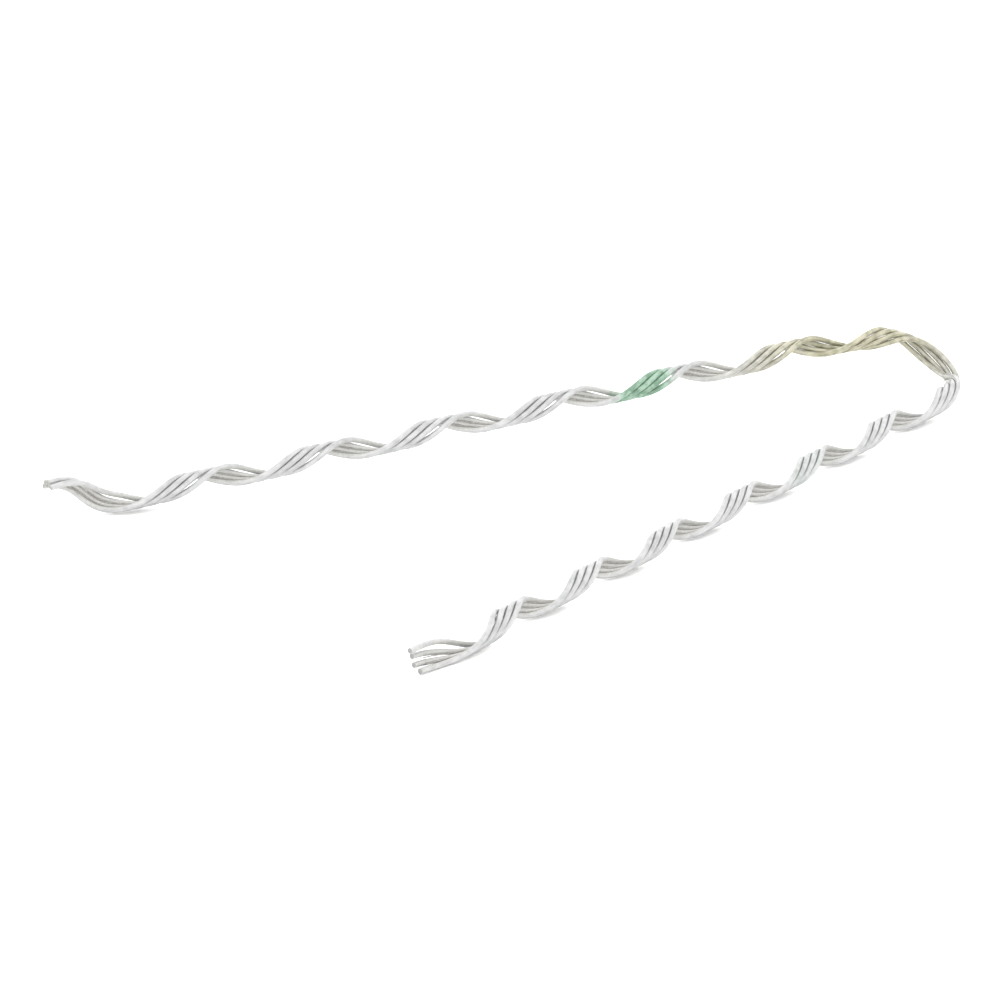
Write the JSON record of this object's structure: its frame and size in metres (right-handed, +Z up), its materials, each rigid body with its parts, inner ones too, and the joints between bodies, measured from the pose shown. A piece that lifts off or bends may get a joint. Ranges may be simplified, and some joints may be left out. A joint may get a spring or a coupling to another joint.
{
  "type": "preformed dead end grip",
  "caption": "Preformed wire grip for a guy strand: helical galvanised steel rods bent into an eye loop with two diverging legs, grit inside, green crossover mark.",
  "frame": {"origin": "on the surface the grip lies on, at the middle of its box in plan", "axes": "+X along the bisector of the two legs, towards the loop; +Z up, off the surface the grip lies on; +Y towards the leg that climbs to the loop"},
  "size_m": [0.4264, 0.2387, 0.0292],
  "materials": {
    "galvanised_steel": "galvanised wire, satin, with a green crossover mark and a tan stretch round the loop"
  },
  "bodies": {
    "root": {"rod_1": "galvanised_steel", "rod_2": "galvanised_steel", "rod_3": "galvanised_steel", "rod_4": "galvanised_steel"}
  },
  "joints": []
}
